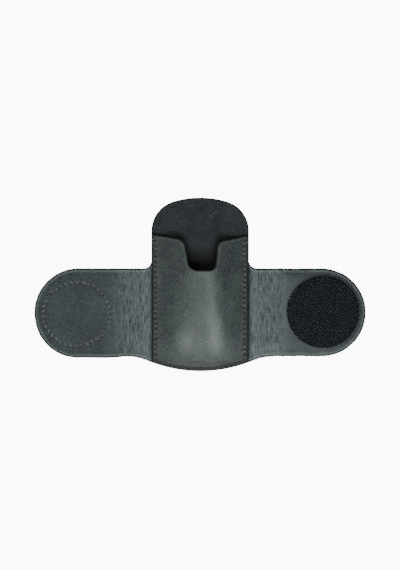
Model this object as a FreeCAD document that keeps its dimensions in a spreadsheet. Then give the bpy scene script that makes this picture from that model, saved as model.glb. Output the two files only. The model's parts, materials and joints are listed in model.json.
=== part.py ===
import FreeCAD, Part
import math
import os
import Sketcher

# A leather hand grip: a cross-shaped leather panel with a moulded pocket sewn to its front, a tongue
# above the pocket's mouth, and two wings that wrap behind it and close with round hook and loop patches.
# Millimetres, +Z up. The grip lies on its back: +X is the hook wing, -X the loop wing, +Y the tongue.
# The origin is under the middle of the outline, on the surface that the grip lies on.

Vector = FreeCAD.Vector
Rotation = FreeCAD.Rotation
Y_AXIS = Vector(0, 1, 0)
Z_AXIS = Vector(0, 0, 1)

DIMENSIONS = {
    # leather panel
    "leather": 2.4,
    "half_span": 107.5,
    "wing_height": 57.1,
    "wing_centre": -18.15,
    "top_edge": 56.4,
    "bottom_edge": -56.4,
    "tab_half": 31.7,
    "crown_arc": 60.0,
    "tab_corner": 20.0,
    "neck_fillet": 5.2,
    "belly_arc": 89.4,
    "belly_blend": 38.0,
    # folds
    "fold_start": 33.4,
    "left_fold_pitch": 10.6,
    "right_fold_pitch": 6.7,
    "fold_gap": 0.3,
    "fold_angle": 60.0,
    "tab_fold": 35.0,
    "tab_fold_angle": 45.0,
    # pocket
    "pocket_leather": 1.8,
    "pocket_half": 31.2,
    "pocket_mouth": 32.9,
    "mouth_dip": 3.6,
    "notch_half": 8.6,
    "notch_flare": 3.0,
    "notch_floor": 9.1,
    "notch_corner": 4.0,
    "notch_shoulder": 5.0,
    "seam_inset": 2.3,
    "bulge_half": 27.0,
    "bulge_height": 11.5,
    "outline_inset": 0.3,
    # hook and loop patches
    "patch_radius": 24.0,
    "patch_tape": 0.5,
    "hook_height": 1.2,
    "loop_height": 1.6,
    "loop_patch_centre": -80.1,
    "hook_patch_centre": 79.8,
    "patch_level": -17.8,
    "ring_radius": 21.4,
    "ring_channel": 1.4,
    # thread
    "thread": 0.6,
    "thread_proud": 0.35,
    "stitch_pitch": 3.35,
    "stitch_space": 0.35,
}
FOLDS = 3
RING_STITCHES = 38
RING_SLANT = 0.5
CLEARANCE = 0.03
# The moulded bulge, from above the mouth down: (y, share of the full width, share of the full height).
OUTSIDE_ROWS = [(40.0, 1.0, 0.90), (10.0, 1.0, 1.0), (-18.0, 0.99, 0.92), (-36.0, 0.94, 0.66),
                (-49.5, 0.80, 0.17)]
HOLLOW_ROWS = [(40.5, 1.0, 0.90), (10.0, 1.0, 1.0), (-18.0, 0.99, 0.92), (-36.0, 0.94, 0.66),
               (-46.5, 0.80, 0.24)]

doc = FreeCAD.newDocument("hand_grip")
sheet = doc.addObject("Spreadsheet::Sheet", "dims")
for row, (alias, number) in enumerate(DIMENSIONS.items(), start=1):
    sheet.set(f"A{row}", alias)
    sheet.set(f"B{row}", str(number))
    sheet.setAlias(f"B{row}", alias)
doc.recompute()


def size(expression):
    """The number that an expression of the sheet's cells stands for."""
    value = sheet.evalExpression(expression)
    return float(getattr(value, "Value", value))


def bind(piece, **expressions):
    """Binds properties to sheet expressions; x, y and z are the placement's base."""
    for name, expression in expressions.items():
        path = f"Placement.Base.{name}" if name in ("x", "y", "z") else name
        piece.setExpression(path, expression)
    return piece


def box(name, **expressions):
    return bind(doc.addObject("Part::Box", name), **expressions)


def cylinder(name, **expressions):
    return bind(doc.addObject("Part::Cylinder", name), **expressions)


def combine(kind, name, base, tool):
    """A Part::Cut or Part::Common of two objects."""
    piece = doc.addObject(kind, name)
    piece.Base = base
    piece.Tool = tool
    return piece


def fuse(name, pieces):
    piece = doc.addObject("Part::MultiFuse", name)
    piece.Shapes = pieces
    piece.Refine = True
    return piece


def fillet_upright_edges(name, base, corners):
    """Rounds the upright edges of base nearest to each (x, y, radius)."""
    doc.recompute()
    upright = []
    for index, edge in enumerate(base.Shape.Edges, start=1):
        if edge.BoundBox.ZLength > 1e-3 and edge.BoundBox.XLength + edge.BoundBox.YLength < 1e-3:
            upright.append((index, edge.CenterOfMass))
    chosen = []
    for x, y, radius in corners:
        index, middle = min(upright, key=lambda pair: math.hypot(pair[1].x - x, pair[1].y - y))
        chosen.append((index, radius, radius))
    piece = doc.addObject("Part::Fillet", name)
    piece.Base = base
    piece.Edges = chosen
    return piece


def origin_plane(body, role):
    return next(f for f in body.Origin.OriginFeatures if f.Role == role)


def polygon_pad(name, plane, points, length):
    """A body with one polygon sketch, its corners bound to sheet expressions, padded equally both ways."""
    body = doc.addObject("PartDesign::Body", name)
    sketch = body.newObject("Sketcher::SketchObject", name + "_sketch")
    sketch.AttachmentSupport = [(origin_plane(body, plane), "")]
    sketch.MapMode = "FlatFace"
    places = [Vector(size(across), size(up), 0) for across, up in points]
    count = len(places)
    for i in range(count):
        sketch.addGeometry(Part.LineSegment(places[i], places[(i + 1) % count]), False)
    for i in range(count):
        sketch.addConstraint(Sketcher.Constraint("Coincident", i, 2, (i + 1) % count, 1))
    for i, (across, up) in enumerate(points):
        for kind, expression in (("DistanceX", across), ("DistanceY", up)):
            at = sketch.addConstraint(Sketcher.Constraint(kind, -1, 1, i, 1, size(expression)))
            sketch.setExpression(f"Constraints[{at}]", expression)
    pad = body.newObject("PartDesign::Pad", name + "_pad")
    pad.Profile = sketch
    pad.SideType = "Symmetric"
    pad.setExpression("Length", length)
    doc.recompute()
    return body


# ---------------------------------------------------------------- the flat leather blank

def leather_blank():
    """The whole leather panel as it is cut, flat, before it is divided at its folds."""
    end = "dims.half_span - dims.wing_height / 2"
    bar = box("wing_bar", Length=f"2 * ({end})", Width="dims.wing_height", Height="dims.leather",
              x=f"-({end})", y="dims.wing_centre - dims.wing_height / 2")
    left = cylinder("left_wing_end", Radius="dims.wing_height / 2", Height="dims.leather",
                    x=f"-({end})", y="dims.wing_centre")
    right = cylinder("right_wing_end", Radius="dims.wing_height / 2", Height="dims.leather",
                     x=end, y="dims.wing_centre")
    block = box("tab_block", Length="2 * dims.tab_half", Width="dims.top_edge - dims.wing_centre",
                Height="dims.leather", x="-dims.tab_half", y="dims.wing_centre")
    crown = cylinder("tab_crown", Radius="dims.crown_arc", Height="dims.leather",
                     y="dims.top_edge - dims.crown_arc")
    square_tab = combine("Part::Common", "square_tab", block, crown)
    half = size("dims.tab_half")
    top = size("dims.top_edge")
    corner = size("dims.tab_corner")
    tab = fillet_upright_edges("tab", square_tab, [(-half, top, corner), (half, top, corner)])
    arc = cylinder("belly_disc", Radius="dims.belly_arc", Height="dims.leather",
                   y="dims.bottom_edge + dims.belly_arc")
    lower = box("belly_block", Length="2 * dims.belly_arc", Height="dims.leather",
                Width="dims.wing_centre - dims.bottom_edge", x="-dims.belly_arc", y="dims.bottom_edge")
    belly = combine("Part::Common", "belly", arc, lower)
    blank = fuse("square_blank", [bar, left, right, tab, belly])
    wing_top = size("dims.wing_centre + dims.wing_height / 2")
    wing_bottom = size("dims.wing_centre - dims.wing_height / 2")
    rise = size("dims.bottom_edge + dims.belly_arc") - wing_bottom
    belly_half = math.sqrt(size("dims.belly_arc") ** 2 - rise ** 2)
    neck = size("dims.neck_fillet")
    blend = size("dims.belly_blend")
    return fillet_upright_edges("leather_blank", blank, [
        (-half, wing_top, neck), (half, wing_top, neck),
        (-belly_half, wing_bottom, blend), (belly_half, wing_bottom, blend)])


def segment(label, blank, near, far, side, plane="XZ_Plane"):
    """The part of the blank between two folds, with its edges relieved so that it can fold.

    near and far are expressions of the distance from the middle; far is None where the leather ends. The
    back half of a wing's folding edge is bevelled by half the fold angle, the tongue's is bevelled both ways.
    """
    wing_fold = plane == "XZ_Plane"
    middle = "dims.leather / 2"
    angle = "dims.fold_angle" if wing_fold else "dims.tab_fold_angle"
    relief = f"{middle} * tan({angle} * 1deg / 2)"

    def edge(distance, sign):
        if distance is None:
            return [("2 * dims.half_span", "0"), ("2 * dims.half_span", "dims.leather")]
        inner = f"{distance} + ({sign}) * dims.fold_gap / 2"
        back = f"{inner} + ({sign}) * {relief}"
        front = inner if wing_fold else back
        return [(back, "0"), (inner, middle), (front, "dims.leather")]

    outline = edge(near, 1) + edge(far, -1)[::-1]
    turned = [(f"({side}) * ({across})", up) for across, up in outline]
    cutter = polygon_pad(label + "_cutter", plane, turned, "4 * dims.half_span")
    piece = combine("Part::Common", label, blank, cutter)
    piece.Label = label
    return piece


def centre_panel(blank):
    """The middle of the panel, from wing fold to wing fold and up to the tongue's fold."""
    relief = "dims.leather / 2 * tan(dims.fold_angle * 1deg / 2)"
    edge = "dims.fold_start - dims.fold_gap / 2"
    across = [(f"-({edge} - {relief})", "0"), (f"{edge} - {relief}", "0"), (edge, "dims.leather / 2"),
              (edge, "dims.leather"), (f"-({edge})", "dims.leather"), (f"-({edge})", "dims.leather / 2")]
    side_cutter = polygon_pad("centre_side_cutter", "XZ_Plane", across, "4 * dims.half_span")
    sides = combine("Part::Common", "centre_sides", blank, side_cutter)
    tab_relief = "dims.leather / 2 * tan(dims.tab_fold_angle * 1deg / 2)"
    top = "dims.tab_fold - dims.fold_gap / 2"
    down = "-dims.half_span"
    along = [(down, "0"), (f"{top} - {tab_relief}", "0"), (top, "dims.leather / 2"),
             (f"{top} - {tab_relief}", "dims.leather"), (down, "dims.leather")]
    top_cutter = polygon_pad("centre_top_cutter", "YZ_Plane", along, "4 * dims.half_span")
    piece = combine("Part::Common", "back_panel", sides, top_cutter)
    piece.Label = "back_panel"
    return piece


# ---------------------------------------------------------------- pocket

def bulge(name, shrink, rows):
    """A loft of circular segments along Y, the hollow or the outside of the moulded pocket.

    rows hold (y, share of the full width, share of the full height); shrink is the leather to leave out.
    """
    floor = size("dims.leather")
    wires = []
    for y, wide, high in rows:
        half = size("dims.bulge_half") * wide - shrink
        rise = size("dims.bulge_height") * high - shrink
        left = Vector(-half, y, floor)
        right = Vector(half, y, floor)
        arc = Part.Arc(left, Vector(0, y, floor + rise), right)
        wires.append(Part.Wire([arc.toShape(), Part.LineSegment(right, left).toShape()]))
    piece = doc.addObject("Part::Feature", name)
    piece.Shape = Part.makeLoft(wires, True, False)
    return piece


def mouth_outline():
    """The pocket's outline as a face: straight sides, the belly's arc, and a mouth with a thumb notch."""
    half = size("dims.pocket_half")
    mouth = size("dims.pocket_mouth")
    centre = size("dims.bottom_edge + dims.belly_arc")
    arc = size("dims.belly_arc - dims.outline_inset")
    low = centre - math.sqrt(arc ** 2 - half ** 2)
    notch = size("dims.notch_half")
    wide = size("dims.notch_half + dims.notch_flare")
    shoulder = size("dims.pocket_mouth - dims.mouth_dip - dims.notch_shoulder / 2")
    floor = size("dims.notch_floor")
    corners = [Vector(half, low, 0), Vector(half, mouth, 0), Vector(wide, shoulder, 0),
               Vector(notch, floor, 0), Vector(-notch, floor, 0), Vector(-wide, shoulder, 0),
               Vector(-half, mouth, 0), Vector(-half, low, 0)]
    edges = [Part.LineSegment(a, b).toShape() for a, b in zip(corners, corners[1:])]
    edges.append(Part.Arc(corners[-1], Vector(0, centre - arc, 0), corners[0]).toShape())
    return Part.Face(Part.Wire(edges))


def pocket_front():
    """The pocket: a flat sewn border with a moulded bulge, open at the mouth, with a thumb notch."""
    base = size("dims.leather")
    skin = size("dims.pocket_leather")
    tall = size("dims.bulge_height + dims.pocket_leather")
    outline = mouth_outline()
    border = doc.addObject("Part::Feature", "pocket_border")
    border.Shape = outline.extrude(Vector(0, 0, skin))
    border.Placement.Base = Vector(0, 0, base)
    trim = doc.addObject("Part::Feature", "pocket_trim")
    trim.Shape = outline.extrude(Vector(0, 0, tall))
    trim.Placement.Base = Vector(0, 0, base)
    outside = bulge("pocket_outside", 0.0, OUTSIDE_ROWS)
    hollow = bulge("pocket_hollow", skin, HOLLOW_ROWS)
    solid = fuse("pocket_solid", [border, outside])
    solid.Refine = False
    shell = combine("Part::Cut", "pocket_shell", solid, hollow)
    square = combine("Part::Common", "square_pocket", shell, trim)
    notch = size("dims.notch_half")
    wide = size("dims.notch_half + dims.notch_flare")
    shoulder = size("dims.pocket_mouth - dims.mouth_dip - dims.notch_shoulder / 2")
    floor = size("dims.notch_floor")
    corner = size("dims.notch_corner")
    bend = size("dims.notch_shoulder")
    piece = fillet_upright_edges("pocket_front", square, [
        (-notch, floor, corner), (notch, floor, corner), (-wide, shoulder, bend), (wide, shoulder, bend)])
    piece.Label = "pocket_front"
    return piece



# ---------------------------------------------------------------- hook and loop patches

def patch(label, centre, bottom, depth):
    """One round layer of a patch."""
    piece = cylinder(label, Radius="dims.patch_radius", Height=depth, x=centre, y="dims.patch_level",
                     z=bottom)
    piece.Label = label
    return piece


def patch_field(label, centre, bottom, depth):
    """The hooks or loops as a plain layer, with an open channel where the ring of stitches lies."""
    inside = "dims.ring_radius - dims.ring_channel / 2"
    outside = "dims.ring_radius + dims.ring_channel / 2"
    place = {"Height": depth, "x": centre, "y": "dims.patch_level", "z": bottom}
    rim = cylinder(label + "_rim", Radius="dims.patch_radius - dims.outline_inset", **place)
    gap = cylinder(label + "_gap", Radius=outside, **place)
    ring = combine("Part::Cut", label + "_ring", rim, gap)
    core = cylinder(label + "_core", Radius=inside, **place)
    piece = fuse(label, [ring, core])
    piece.Label = label
    return piece


# ---------------------------------------------------------------- thread

def staple(start, stop, top, foot):
    """One stitch: a run of thread between two needle holes, with a leg down each of them.

    top is the height of the run's outer face and foot the height where the legs end, above or below it.
    """
    thick = size("dims.thread")
    run = stop - start
    length = run.Length - size("dims.stitch_space")
    inward = 1 if foot > top else -1
    depth = abs(foot - top)
    bar = Part.makeBox(length, thick, depth, Vector(-length / 2, -thick / 2, 0))
    slot = Part.makeBox(length - 2 * thick, thick, depth - thick,
                        Vector(thick - length / 2, -thick / 2, thick))
    shape = bar.cut(slot)
    if inward < 0:
        shape.rotate(Vector(0, 0, 0), Vector(1, 0, 0), 180)
    shape.rotate(Vector(0, 0, 0), Z_AXIS, math.degrees(math.atan2(run.y, run.x)))
    middle = (start + stop) / 2
    shape.translate(Vector(middle.x, middle.y, top))
    return shape


def thread(label, stitches, top, foot):
    """A row of stitches, each a separate solid, in one node."""
    piece = doc.addObject("Part::Feature", label)
    piece.Shape = Part.makeCompound([staple(start, stop, top, foot) for start, stop in stitches])
    piece.Label = label
    return piece


def seam_stitches():
    """The pocket's seam: down one side, round the belly, and up the other."""
    side = size("dims.pocket_half - dims.seam_inset")
    high = size("dims.pocket_mouth - dims.seam_inset / 2")
    centre = size("dims.bottom_edge + dims.belly_arc")
    arc = size("dims.belly_arc - dims.seam_inset")
    half_angle = math.asin(side / arc)
    low = centre - arc * math.cos(half_angle)
    pitch = size("dims.stitch_pitch")
    down = round((high - low) / pitch)
    round_belly = round(2 * half_angle * arc / pitch)
    holes = [Vector(-side, high + (low - high) * i / down, 0) for i in range(down)]
    for i in range(round_belly + 1):
        angle = half_angle * (2 * i / round_belly - 1)
        holes.append(Vector(arc * math.sin(angle), centre - arc * math.cos(angle), 0))
    holes += [Vector(side, low + (high - low) * i / down, 0) for i in range(1, down + 1)]
    return list(zip(holes, holes[1:]))


def ring_stitches(centre):
    """A ring of slanted stitches, each from a hole a little inside the ring to one a little outside it."""
    radius = size("dims.ring_radius")
    level = size("dims.patch_level")
    stitches = []
    for i in range(RING_STITCHES):
        first = 2 * math.pi * i / RING_STITCHES
        second = 2 * math.pi * (i + 1) / RING_STITCHES
        inner = radius - RING_SLANT / 2
        outer = radius + RING_SLANT / 2
        start = Vector(centre + inner * math.cos(first), level + inner * math.sin(first), 0)
        stop = Vector(centre + outer * math.cos(second), level + outer * math.sin(second), 0)
        stitches.append((start, stop))
    return stitches


# ---------------------------------------------------------------- assembly

blank = leather_blank()
panel = centre_panel(blank)
tongue = segment("top_tab", blank, "dims.tab_fold", None, 1, "YZ_Plane")


def wing(side, name, pitch):
    """The folding strips and the outer wing of one side, flat."""
    folds = [f"(dims.fold_start + {i} * dims.{pitch})" for i in range(FOLDS)]
    strips = [segment(f"{name}_fold_strip_{i + 1}", blank, folds[i], folds[i + 1], side)
              for i in range(FOLDS - 1)]
    outer = segment(f"{name}_wing", blank, folds[-1], None, side)
    return strips, outer


left_strips, left_wing = wing(-1, "left", "left_fold_pitch")
right_strips, right_wing = wing(1, "right", "right_fold_pitch")
pocket = pocket_front()

leather = size("dims.leather")
half = leather / 2
skin = size("dims.pocket_leather")
tape = size("dims.patch_tape")
proud = size("dims.thread_proud")

needle = thread("pocket_seam_needle_thread", seam_stitches(), leather + skin + proud, leather + CLEARANCE)
bobbin = thread("pocket_seam_bobbin_thread", seam_stitches(), CLEARANCE, leather - CLEARANCE)

hook_tape = patch("hook_patch_tape", "dims.hook_patch_centre", "dims.leather", "dims.patch_tape")
hooks = patch_field("hook_field", "dims.hook_patch_centre", "dims.leather + dims.patch_tape",
                    "dims.hook_height")
hook_ring = ring_stitches(size("dims.hook_patch_centre"))
hook_needle = thread("hook_ring_needle_thread", hook_ring, leather + tape + proud, half + CLEARANCE)
hook_bobbin = thread("hook_ring_bobbin_thread", hook_ring, CLEARANCE, half - CLEARANCE)

loop_tape = patch("loop_patch_tape", "dims.loop_patch_centre", "-dims.patch_tape", "dims.patch_tape")
loops = patch_field("loop_field", "dims.loop_patch_centre", "-dims.patch_tape - dims.loop_height",
                    "dims.loop_height")
loop_ring = ring_stitches(size("dims.loop_patch_centre"))
loop_needle = thread("loop_ring_needle_thread", loop_ring, leather + proud, half + CLEARANCE)
loop_bobbin = thread("loop_ring_bobbin_thread", loop_ring, -tape - proud, half - CLEARANCE)

doc.recompute()


def lift_loop_wing():
    """The loop wing rests on its patch, so its folding strips climb to it and its outer part lies level."""
    lift = size("dims.patch_tape + dims.loop_height")
    pitch = size("dims.left_fold_pitch")
    angle = math.asin(lift / (pitch * (FOLDS - 1)))
    pivot = Vector(-size("dims.fold_start"), 0, half)
    tilt = Rotation(Y_AXIS, math.degrees(angle))
    climb = FreeCAD.Placement(pivot - tilt.multVec(pivot), tilt)
    for strip in left_strips:
        strip.Placement = climb
    shortening = pitch * (FOLDS - 1) * (1 - math.cos(angle))
    shift = Vector(shortening, 0, lift)
    for piece in (left_wing, loop_needle, loop_bobbin):
        piece.Placement = FreeCAD.Placement(shift, Rotation())
    for piece in (loop_tape, loops):
        piece.setExpression("Placement.Base.z", None)
        piece.setExpression("Placement.Base.x", None)
        piece.Placement.Base = piece.Placement.Base + shift
    print(f"loop wing: lift {lift:.2f} mm, strips climb {math.degrees(angle):.4f} degrees")


lift_loop_wing()
doc.recompute()

SUBPARTS = [panel, pocket, needle, bobbin, tongue, *left_strips, left_wing, loop_tape, loops, loop_needle,
            loop_bobbin, *right_strips, right_wing, hook_tape, hooks, hook_needle, hook_bobbin]

for thing in doc.Objects:
    if {"Invalid", "Error"} & set(thing.State):
        raise SystemExit(f"{thing.Label} failed: {thing.State}")
os.makedirs("parts", exist_ok=True)
for piece in SUBPARTS:
    if piece.Shape.isNull() or not piece.Shape.isValid():
        raise SystemExit(f"{piece.Label} has no valid shape")
    piece.Shape.exportStep(f"parts/{piece.Label}.step")
    print(f"{piece.Label}: {len(piece.Shape.Solids)} solids, {piece.Shape.Volume:.1f} mm3")
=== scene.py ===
import json
import math

import bpy
import numpy as np
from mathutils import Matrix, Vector, geometry, noise


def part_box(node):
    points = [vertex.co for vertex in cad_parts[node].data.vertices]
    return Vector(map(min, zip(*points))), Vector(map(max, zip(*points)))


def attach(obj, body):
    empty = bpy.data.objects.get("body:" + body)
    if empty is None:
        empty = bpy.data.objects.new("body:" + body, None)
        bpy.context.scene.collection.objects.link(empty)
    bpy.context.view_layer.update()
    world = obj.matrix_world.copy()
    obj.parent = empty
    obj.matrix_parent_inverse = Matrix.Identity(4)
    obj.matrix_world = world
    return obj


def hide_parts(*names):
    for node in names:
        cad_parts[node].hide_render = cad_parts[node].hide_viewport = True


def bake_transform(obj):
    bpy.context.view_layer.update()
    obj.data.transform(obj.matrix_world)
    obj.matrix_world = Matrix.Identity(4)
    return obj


# A leather hand grip lying on its back. Shapes are worked out in millimetres and made in metres.
# +X is the hook wing, -X the loop wing, +Y the tongue, +Z towards the camera.

MM = 0.001
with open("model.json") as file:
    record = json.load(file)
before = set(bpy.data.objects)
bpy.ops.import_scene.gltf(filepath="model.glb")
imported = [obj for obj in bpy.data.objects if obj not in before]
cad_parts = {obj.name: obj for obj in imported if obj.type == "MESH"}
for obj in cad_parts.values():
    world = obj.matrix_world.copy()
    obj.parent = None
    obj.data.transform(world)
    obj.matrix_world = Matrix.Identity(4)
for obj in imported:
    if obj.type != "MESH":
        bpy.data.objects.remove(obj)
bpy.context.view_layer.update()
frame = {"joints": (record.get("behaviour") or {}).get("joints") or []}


def box(node):
    """A CAD node's lowest and highest corner in millimetres."""
    low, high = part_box(node)
    return np.array(low) / MM, np.array(high) / MM


def hinge(name):
    """Where a joint's axis is, in millimetres."""
    return np.array(next(j for j in frame["joints"] if j["name"] == name)["pos_m"]) / MM


# ---- sizes, read from the frame

WING_LOW, WING_HIGH = box("right_wing")
TAB_HIGH = box("top_tab")[1]
PANEL_LOW, PANEL_HIGH = box("back_panel")
POCKET_HIGH = box("pocket_front")[1]
HOOK_LOW, HOOK_HIGH = box("hook_patch_tape")
HOOKS_LOW, HOOKS_HIGH = box("hook_field")
LOOP_LOW, LOOP_HIGH = box("loop_patch_tape")
LOOPS_LOW, LOOPS_HIGH = box("loop_field")

LEATHER = PANEL_HIGH[2]
HALF_SPAN = WING_HIGH[0]
WING_TOP, WING_BOTTOM = WING_HIGH[1], WING_LOW[1]
WING_CENTRE = (WING_TOP + WING_BOTTOM) / 2
WING_RADIUS = (WING_TOP - WING_BOTTOM) / 2
TAB_HALF, TAB_TOP = TAB_HIGH[0], TAB_HIGH[1]
BELLY = PANEL_LOW[1]
POCKET_HALF, POCKET_TOP = POCKET_HIGH[0], POCKET_HIGH[1]
LIFT = box("left_wing")[0][2]
HOOK_CENTRE = (HOOK_LOW + HOOK_HIGH) / 2
LOOP_CENTRE = (LOOP_LOW + LOOP_HIGH) / 2
PATCH_RADIUS = (HOOK_HIGH[0] - HOOK_LOW[0]) / 2
LEFT_HINGES = [hinge(name)[0] for name in ("left_wrap", "left_wrap_2", "left_wrap_3")]
RIGHT_HINGES = [hinge(name)[0] for name in ("right_wrap", "right_wrap_2", "right_wrap_3")]
TAB_HINGE = hinge("tongue_flex")[1]

# the cut leather: its arcs, and where its shape isn't the frame's
CROWN_ARC, TAB_CORNER, NECK_FILLET = 60.0, 20.0, 5.2
BELLY_ARC, BELLY_BLEND = 89.4, 38.0
POCKET_INSET = 0.3
LOOP_WING_SAG = 0.9
NOTCH_FLOOR = 9.1

# leather and thread
POCKET_LEATHER = 1.8
EDGE_RADIUS = 0.95
SEAM_INSET = 2.3
STITCH_PITCH = 3.35
RING_STITCHES = 38
THREAD = 0.6
STITCH_LIFT, STITCH_SINK = 0.34, 0.55
TWIST_LENGTH = 2.6


def smooth(value):
    """0 below 0, 1 above 1 and a smooth step between."""
    t = np.clip(value, 0.0, 1.0)
    return t * t * (3 - 2 * t)


def hump(value):
    """A bell of height 1 at 0."""
    return np.exp(-np.square(value))


def wobble(x, y, scale, seed):
    """Smooth noise between about -1 and 1 with bumps about 1 / scale millimetres across."""
    return np.array([noise.noise(Vector((a * scale, b * scale, seed))) for a, b in zip(x, y)])


# ---- outlines

def arc(centre, radius, start, stop, step=0.5):
    """Points along a circle's arc, with angles in degrees."""
    count = max(2, math.ceil(abs(math.radians(stop - start)) * radius / step))
    angles = np.radians(np.linspace(start, stop, count + 1))
    return np.column_stack((centre[0] + radius * np.cos(angles), centre[1] + radius * np.sin(angles)))


def degrees_of(vector):
    return math.degrees(math.atan2(vector[1], vector[0]))


def rounded(corners, step=0.5):
    """An open line through (x, y, radius) corners, each inner one rounded by an arc of its radius."""
    places = [np.array(c[:2], float) for c in corners]
    parts = [places[0][None]]
    for before, here, after, corner in zip(places, places[1:], places[2:], corners[1:]):
        to_before = (before - here) / np.linalg.norm(before - here)
        to_after = (after - here) / np.linalg.norm(after - here)
        half_angle = math.acos(float(np.clip(to_before @ to_after, -1, 1))) / 2
        bisector = (to_before + to_after) / np.linalg.norm(to_before + to_after)
        centre = here + bisector * corner[2] / math.sin(half_angle)
        reach = corner[2] / math.tan(half_angle)
        first = degrees_of(here + to_before * reach - centre)
        turn = (degrees_of(here + to_after * reach - centre) - first + 180) % 360 - 180
        parts.append(arc(centre, corner[2], first, first + turn, step))
    parts.append(places[-1][None])
    return np.vstack(parts)


def evenly(points, step, closed=True):
    """The same line with points spaced evenly, about step apart."""
    line = np.vstack((points, points[:1])) if closed else points
    run = np.concatenate(([0.0], np.cumsum(np.linalg.norm(np.diff(line, axis=0), axis=1))))
    keep = np.concatenate(([True], np.diff(run) > 1e-9))
    line, run = line[keep], run[keep]
    count = max(3, round(run[-1] / step))
    at = np.linspace(0, run[-1], count + 1)
    if closed:
        at = at[:-1]
    return np.column_stack((np.interp(at, run, line[:, 0]), np.interp(at, run, line[:, 1])))


def inset(loop, distance):
    """A closed anticlockwise loop moved inwards."""
    ahead = np.roll(loop, -1, axis=0) - np.roll(loop, 1, axis=0)
    ahead /= np.linalg.norm(ahead, axis=1)[:, None]
    return loop + distance * np.column_stack((-ahead[:, 1], ahead[:, 0]))


def distance_to(points, line, closed=True):
    """Each point's distance to a line of points."""
    starts = line if closed else line[:-1]
    stops = np.roll(line, -1, axis=0) if closed else line[1:]
    best = np.full(len(points), 1e9)
    for a, b in zip(starts, stops):
        run = b - a
        t = np.clip(((points - a) @ run) / max(run @ run, 1e-12), 0, 1)
        best = np.minimum(best, np.hypot(*(points - a - t[:, None] * run).T))
    return best


def inside(points, loop):
    """Whether each point is inside a closed loop."""
    hit = np.zeros(len(points), bool)
    for (ax, ay), (bx, by) in zip(loop, np.roll(loop, -1, axis=0)):
        if ay != by:
            spans = (points[:, 1] < ay) != (points[:, 1] < by)
            hit ^= spans & (points[:, 0] < (bx - ax) * (points[:, 1] - ay) / (by - ay) + ax)
    return hit


def panel_outline():
    """The cross-shaped leather panel, anticlockwise from the bottom."""
    belly_centre = np.array((0.0, BELLY + BELLY_ARC))
    drop = belly_centre[1] - (WING_BOTTOM - BELLY_BLEND)
    blend_x = math.sqrt((BELLY_ARC + BELLY_BLEND) ** 2 - drop ** 2)
    blend_centre = np.array((blend_x, WING_BOTTOM - BELLY_BLEND))
    meet = degrees_of(blend_centre - belly_centre)
    crown_centre = np.array((0.0, TAB_TOP - CROWN_ARC))
    corner_x = TAB_HALF - TAB_CORNER
    rise = math.sqrt((CROWN_ARC - TAB_CORNER) ** 2 - corner_x ** 2)
    corner_centre = np.array((corner_x, crown_centre[1] + rise))
    crown_meet = degrees_of(corner_centre - crown_centre)
    right = np.vstack((
        arc(belly_centre, BELLY_ARC, -90, meet),
        arc(blend_centre, BELLY_BLEND, meet + 180, 90),
        arc((HALF_SPAN - WING_RADIUS, WING_CENTRE), WING_RADIUS, -90, 90),
        arc((TAB_HALF + NECK_FILLET, WING_TOP + NECK_FILLET), NECK_FILLET, 270, 180),
        arc(corner_centre, TAB_CORNER, 0, crown_meet),
        arc(crown_centre, CROWN_ARC, crown_meet, 90)))
    left = right[::-1][1:-1] * (-1, 1)
    loop = evenly(np.vstack((right, left)), 0.8)
    along_wing = smooth((np.abs(loop[:, 0]) - 36) / 8)
    ragged = 0.14 * wobble(*loop.T, 0.35, 3.1) + 0.16 * wobble(*loop.T, 0.13, 9.0)
    loop = inset(loop, (ragged * along_wing)[:, None])
    sag = LOOP_WING_SAG * smooth((-46 - loop[:, 0]) / 12) * smooth((WING_CENTRE - loop[:, 1]) / 12)
    return loop - np.column_stack((np.zeros(len(sag)), sag))


def pocket_outline():
    """The pocket front: straight sides, the belly's arc, and a sloping mouth with a thumb notch."""
    centre = np.array((0.0, BELLY + BELLY_ARC))
    radius = BELLY_ARC - POCKET_INSET
    low = centre[1] - math.sqrt(radius ** 2 - POCKET_HALF ** 2)
    start = degrees_of(np.array((-POCKET_HALF, low)) - centre)
    belly = arc(centre, radius, start, -180 - start)
    mouth = rounded([
        (POCKET_HALF, low, 0), (POCKET_HALF, POCKET_TOP - 0.9, 0.8), (11.2, 27.5, 4.6),
        (9.4, NOTCH_FLOOR, 4.2), (-6.6, NOTCH_FLOOR, 6.0), (-10.0, 28.6, 6.0),
        (-POCKET_HALF, POCKET_TOP, 0.8), (-POCKET_HALF, low, 0)])
    return evenly(np.vstack((belly[:-1], mouth[:-1])), 0.7)


# ---- thick sheets of leather

def triangulate(loops, lines, grid):
    """Triangles over the inside of the first loop, with edges along every loop and line."""
    places, edges = [], []
    for points, closed in [(p, True) for p in loops] + [(p, False) for p in lines]:
        first = len(places)
        places.extend(map(tuple, points))
        count = len(points)
        edges += [(first + i, first + i + 1) for i in range(count - 1)]
        if closed:
            edges.append((first + count - 1, first))
    places.extend(map(tuple, grid))
    found = geometry.delaunay_2d_cdt([Vector(p) for p in places], edges, [], 1, 1e-4, False)
    points = np.array([tuple(v) for v in found[0]], float)
    faces = np.array([tuple(f) for f in found[2]], int)
    a, b, c = (points[faces[:, i]] for i in range(3))
    turn = (b[:, 0] - a[:, 0]) * (c[:, 1] - a[:, 1]) - (b[:, 1] - a[:, 1]) * (c[:, 0] - a[:, 0])
    faces[turn < 0] = faces[turn < 0][:, ::-1]
    return points, faces[np.abs(turn) > 1e-9]


def grid_points(loop, keep_off, xs, ys):
    """Grid points inside a loop and clear of the lines that the mesh already follows."""
    mesh_x, mesh_y = np.meshgrid(xs, ys)
    mesh_x = mesh_x + 0.5 * (xs[1] - xs[0]) * (np.arange(len(ys)) % 2)[:, None]
    points = np.column_stack((mesh_x.ravel(), mesh_y.ravel()))
    points = points[inside(points, loop)]
    for line, closed, gap in keep_off:
        points = points[distance_to(points, line, closed) > gap]
    return points


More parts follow.
